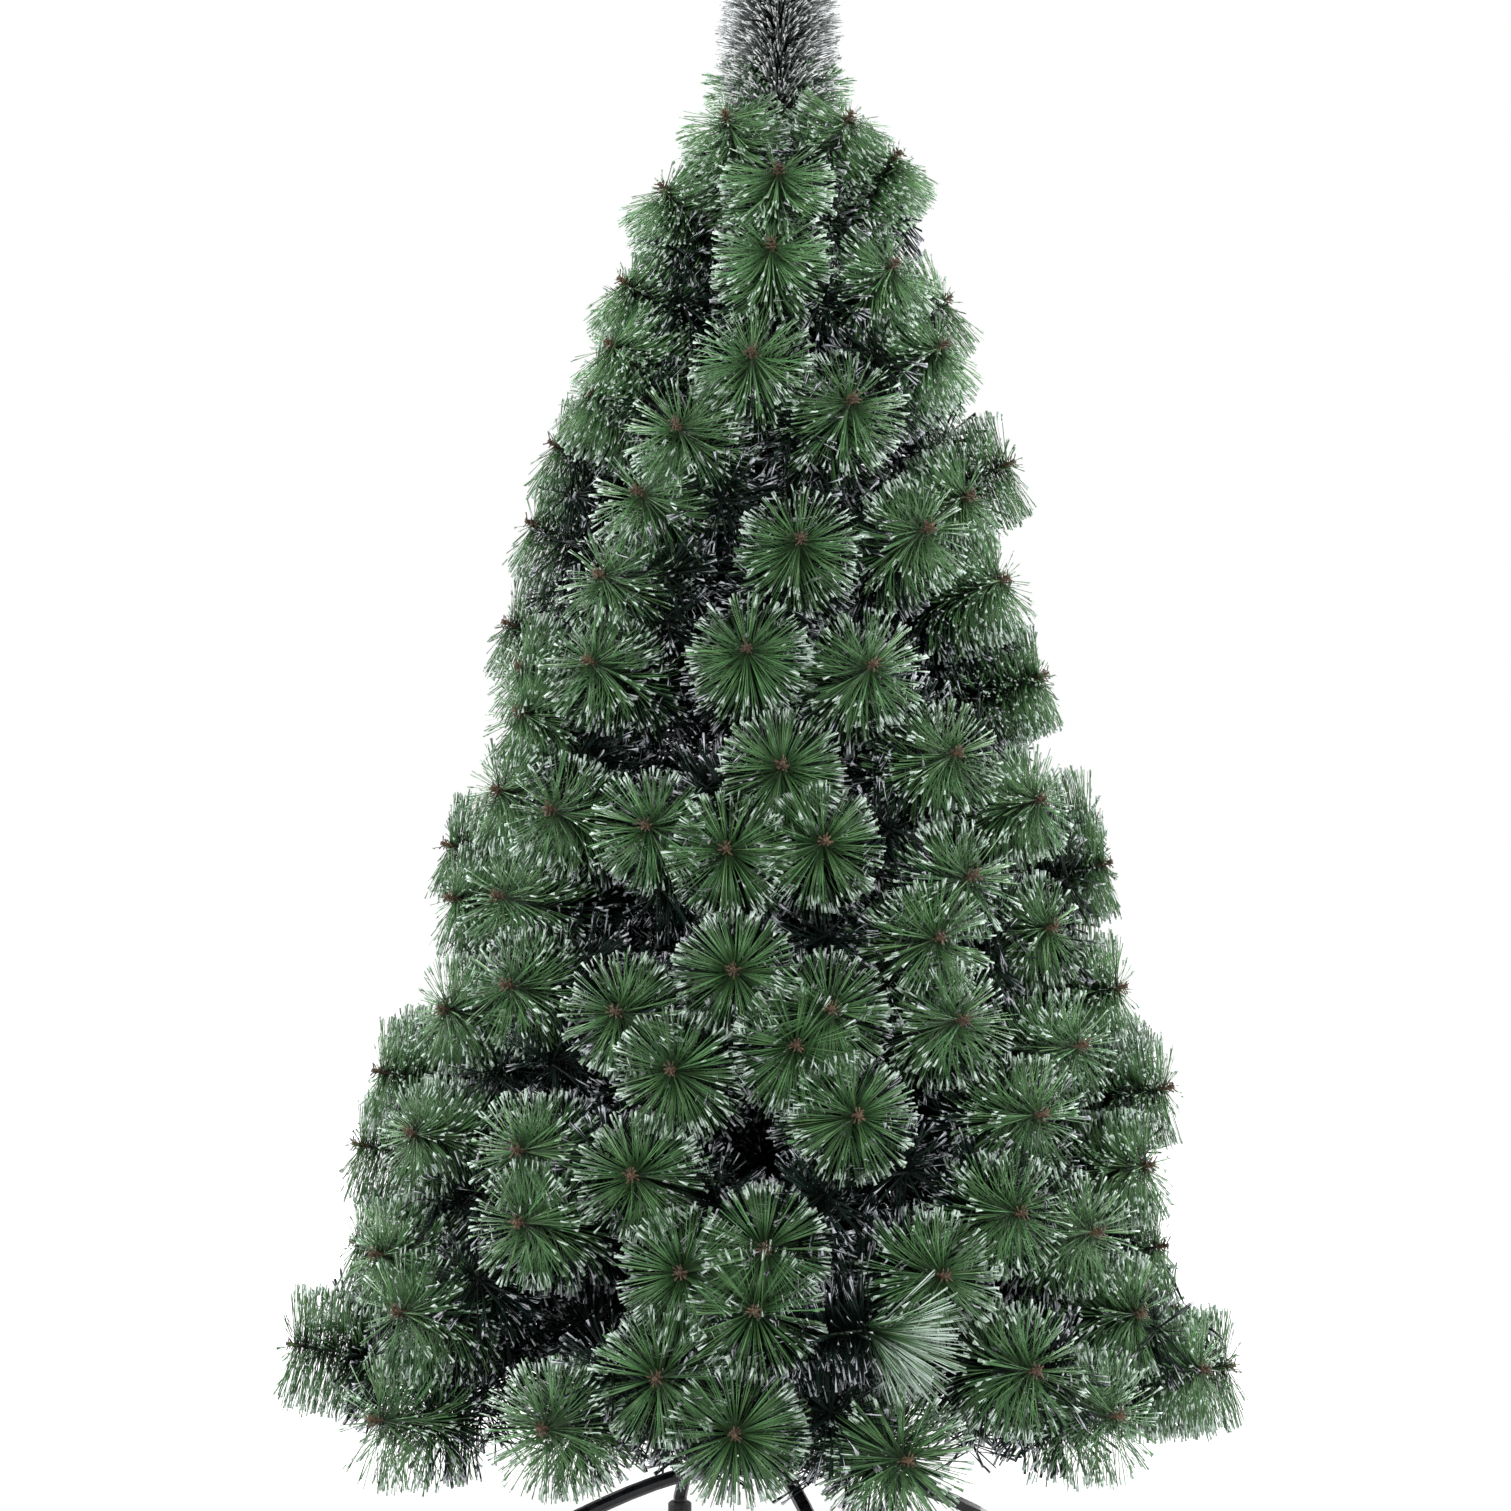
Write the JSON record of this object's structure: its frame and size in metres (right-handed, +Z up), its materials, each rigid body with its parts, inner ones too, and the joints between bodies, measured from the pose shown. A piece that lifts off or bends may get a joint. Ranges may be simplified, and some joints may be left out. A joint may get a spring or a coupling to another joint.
{
  "type": "folding artificial christmas tree",
  "caption": "Conical artificial pine tree with frosted needle brushes on hinged branches, stacked poles and a folding four-foot steel stand.",
  "frame": {"origin": "on the floor, on the axis of the pole", "axes": "+Z up along the pole; -Y towards the front of the tree; +X to the viewer's right"},
  "size_m": [1.0274, 0.981, 1.7983],
  "materials": {
    "black_steel": "gloss",
    "black_rubber": "matte",
    "black_plastic": "satin",
    "green_pole": "satin",
    "green_collar": "satin",
    "branch_steel": "satin",
    "frosted_needles": "satin",
    "dark_needles": "satin"
  },
  "bodies": {
    "stand": {"socket_tube": "black_steel", "lower_leg_bar": "black_steel", "foot_cap_1": "black_rubber", "foot_cap_2": "black_rubber", "leg_retaining_ring": "black_steel"},
    "swivel_leg": {"upper_leg_bar": "black_steel", "foot_cap_3": "black_rubber", "foot_cap_4": "black_rubber"},
    "screw": {"thumb_screw": "black_plastic"},
    "lower_section": {"lower_pole": "green_pole", "hinge_collar_1": "green_collar", "hinge_collar_2": "green_collar"},
    "upper_section": {"upper_pole": "green_pole", "hinge_collar_3": "green_collar", "hinge_collar_4": "green_collar"},
    "top_section": {"top_stem": "green_pole", "crown_sprays_1": "frosted_needles", "crown_sprays_2": "frosted_needles", "crown_sprays_3": "frosted_needles", "leader_brush": "dark_needles"},
    "branch_1_1": {"branch_rod_1_1": "branch_steel", "branch_sprays_1_1": "frosted_needles"},
    "branch_1_2": {"branch_rod_1_2": "branch_steel", "branch_sprays_1_2": "frosted_needles"},
    "branch_1_3": {"branch_rod_1_3": "branch_steel", "branch_sprays_1_3": "frosted_needles"},
    "branch_1_4": {"branch_rod_1_4": "branch_steel", "branch_sprays_1_4": "frosted_needles"},
    "branch_1_5": {"branch_rod_1_5": "branch_steel", "branch_sprays_1_5": "frosted_needles"},
    "branch_1_6": {"branch_rod_1_6": "branch_steel", "branch_sprays_1_6": "frosted_needles"},
    "branch_2_1": {"branch_rod_2_1": "branch_steel", "branch_sprays_2_1": "frosted_needles"},
    "branch_2_2": {"branch_rod_2_2": "branch_steel", "branch_sprays_2_2": "frosted_needles"},
    "branch_2_3": {"branch_rod_2_3": "branch_steel", "branch_sprays_2_3": "frosted_needles"},
    "branch_2_4": {"branch_rod_2_4": "branch_steel", "branch_sprays_2_4": "frosted_needles"},
    "branch_2_5": {"branch_rod_2_5": "branch_steel", "branch_sprays_2_5": "frosted_needles"},
    "branch_2_6": {"branch_rod_2_6": "branch_steel", "branch_sprays_2_6": "frosted_needles"},
    "branch_3_1": {"branch_rod_3_1": "branch_steel", "branch_sprays_3_1": "frosted_needles"},
    "branch_3_2": {"branch_rod_3_2": "branch_steel", "branch_sprays_3_2": "frosted_needles"},
    "branch_3_3": {"branch_rod_3_3": "branch_steel", "branch_sprays_3_3": "frosted_needles"},
    "branch_3_4": {"branch_rod_3_4": "branch_steel", "branch_sprays_3_4": "frosted_needles"},
    "branch_4_1": {"branch_rod_4_1": "branch_steel", "branch_sprays_4_1": "frosted_needles"},
    "branch_4_2": {"branch_rod_4_2": "branch_steel", "branch_sprays_4_2": "frosted_needles"},
    "branch_4_3": {"branch_rod_4_3": "branch_steel", "branch_sprays_4_3": "frosted_needles"},
    "branch_4_4": {"branch_rod_4_4": "branch_steel", "branch_sprays_4_4": "frosted_needles"}
  },
  "joints": [
    {"name": "leg_fold", "type": "hinge", "parent": "stand", "child": "swivel_leg", "pos_m": [0, 0, 0.161], "axis": [0, 0, 1], "range_deg": [-74, 0]},
    {"name": "screw_turn", "type": "hinge", "parent": "stand", "child": "screw", "pos_m": [0.03, 0, 0.2327], "axis": [-1, 0, 0], "continuous": true},
    {"name": "lower_section_lift", "type": "slide", "parent": "stand", "child": "lower_section", "axis": [0, 0, 1], "range_m": [0, 0.13]},
    {"name": "upper_section_lift", "type": "slide", "parent": "lower_section", "child": "upper_section", "axis": [0, 0, 1], "range_m": [0, 0.07]},
    {"name": "top_section_lift", "type": "slide", "parent": "upper_section", "child": "top_section", "axis": [0, 0, 1], "range_m": [0, 0.07]},
    {"name": "branch_fold_1_1", "type": "hinge", "parent": "lower_section", "child": "branch_1_1", "pos_m": [0, -0.025, 0.30146], "axis": [-1, 0, 0], "range_deg": [0, 60], "deforming": ["branch_sprays_1_1"]},
    {"name": "branch_fold_1_2", "type": "hinge", "parent": "lower_section", "child": "branch_1_2", "pos_m": [0.02165, -0.0125, 0.30146], "axis": [-0.5, -0.866, 0], "range_deg": [0, 60], "deforming": ["branch_sprays_1_2"]},
    {"name": "branch_fold_1_3", "type": "hinge", "parent": "lower_section", "child": "branch_1_3", "pos_m": [0.02165, 0.0125, 0.30146], "axis": [0.5, -0.866, 0], "range_deg": [0, 60], "deforming": ["branch_sprays_1_3"]},
    {"name": "branch_fold_1_4", "type": "hinge", "parent": "lower_section", "child": "branch_1_4", "pos_m": [0, 0.025, 0.30146], "axis": [1, 0, 0], "range_deg": [0, 60], "deforming": ["branch_sprays_1_4"]},
    {"name": "branch_fold_1_5", "type": "hinge", "parent": "lower_section", "child": "branch_1_5", "pos_m": [-0.02165, 0.0125, 0.30146], "axis": [0.5, 0.866, 0], "range_deg": [0, 60], "deforming": ["branch_sprays_1_5"]},
    {"name": "branch_fold_1_6", "type": "hinge", "parent": "lower_section", "child": "branch_1_6", "pos_m": [-0.02165, -0.0125, 0.30146], "axis": [-0.5, 0.866, 0], "range_deg": [0, 60], "deforming": ["branch_sprays_1_6"]},
    {"name": "branch_fold_2_1", "type": "hinge", "parent": "lower_section", "child": "branch_2_1", "pos_m": [0.0125, -0.02165, 0.55147], "axis": [-0.866, -0.5, 0], "range_deg": [0, 60], "deforming": ["branch_sprays_2_1"]},
    {"name": "branch_fold_2_2", "type": "hinge", "parent": "lower_section", "child": "branch_2_2", "pos_m": [0.025, 0, 0.55147], "axis": [0, -1, 0], "range_deg": [0, 60], "deforming": ["branch_sprays_2_2"]},
    {"name": "branch_fold_2_3", "type": "hinge", "parent": "lower_section", "child": "branch_2_3", "pos_m": [0.0125, 0.02165, 0.55147], "axis": [0.866, -0.5, 0], "range_deg": [0, 60], "deforming": ["branch_sprays_2_3"]},
    {"name": "branch_fold_2_4", "type": "hinge", "parent": "lower_section", "child": "branch_2_4", "pos_m": [-0.0125, 0.02165, 0.55147], "axis": [0.866, 0.5, 0], "range_deg": [0, 60], "deforming": ["branch_sprays_2_4"]},
    {"name": "branch_fold_2_5", "type": "hinge", "parent": "lower_section", "child": "branch_2_5", "pos_m": [-0.025, 0, 0.55147], "axis": [0, 1, 0], "range_deg": [0, 60], "deforming": ["branch_sprays_2_5"]},
    {"name": "branch_fold_2_6", "type": "hinge", "parent": "lower_section", "child": "branch_2_6", "pos_m": [-0.0125, -0.02165, 0.55147], "axis": [-0.866, 0.5, 0], "range_deg": [0, 60], "deforming": ["branch_sprays_2_6"]},
    {"name": "branch_fold_3_1", "type": "hinge", "parent": "upper_section", "child": "branch_3_1", "pos_m": [0.01768, -0.01768, 0.79685], "axis": [-0.7071, -0.7071, 0], "range_deg": [0, 60], "deforming": ["branch_sprays_3_1"]},
    {"name": "branch_fold_3_2", "type": "hinge", "parent": "upper_section", "child": "branch_3_2", "pos_m": [0.01768, 0.01768, 0.79685], "axis": [0.7071, -0.7071, 0], "range_deg": [0, 60], "deforming": ["branch_sprays_3_2"]},
    {"name": "branch_fold_3_3", "type": "hinge", "parent": "upper_section", "child": "branch_3_3", "pos_m": [-0.01768, 0.01768, 0.79685], "axis": [0.7071, 0.7071, 0], "range_deg": [0, 60], "deforming": ["branch_sprays_3_3"]},
    {"name": "branch_fold_3_4", "type": "hinge", "parent": "upper_section", "child": "branch_3_4", "pos_m": [-0.01768, -0.01768, 0.79685], "axis": [-0.7071, 0.7071, 0], "range_deg": [0, 60], "deforming": ["branch_sprays_3_4"]},
    {"name": "branch_fold_4_1", "type": "hinge", "parent": "upper_section", "child": "branch_4_1", "pos_m": [0, -0.025, 1.06616], "axis": [-1, 0, 0], "range_deg": [0, 60], "deforming": ["branch_sprays_4_1"]},
    {"name": "branch_fold_4_2", "type": "hinge", "parent": "upper_section", "child": "branch_4_2", "pos_m": [0.025, 0, 1.06616], "axis": [0, -1, 0], "range_deg": [0, 60], "deforming": ["branch_sprays_4_2"]},
    {"name": "branch_fold_4_3", "type": "hinge", "parent": "upper_section", "child": "branch_4_3", "pos_m": [0, 0.025, 1.06616], "axis": [1, 0, 0], "range_deg": [0, 60], "deforming": ["branch_sprays_4_3"]},
    {"name": "branch_fold_4_4", "type": "hinge", "parent": "upper_section", "child": "branch_4_4", "pos_m": [-0.025, 0, 1.06616], "axis": [0, 1, 0], "range_deg": [0, 60], "deforming": ["branch_sprays_4_4"]}
  ]
}
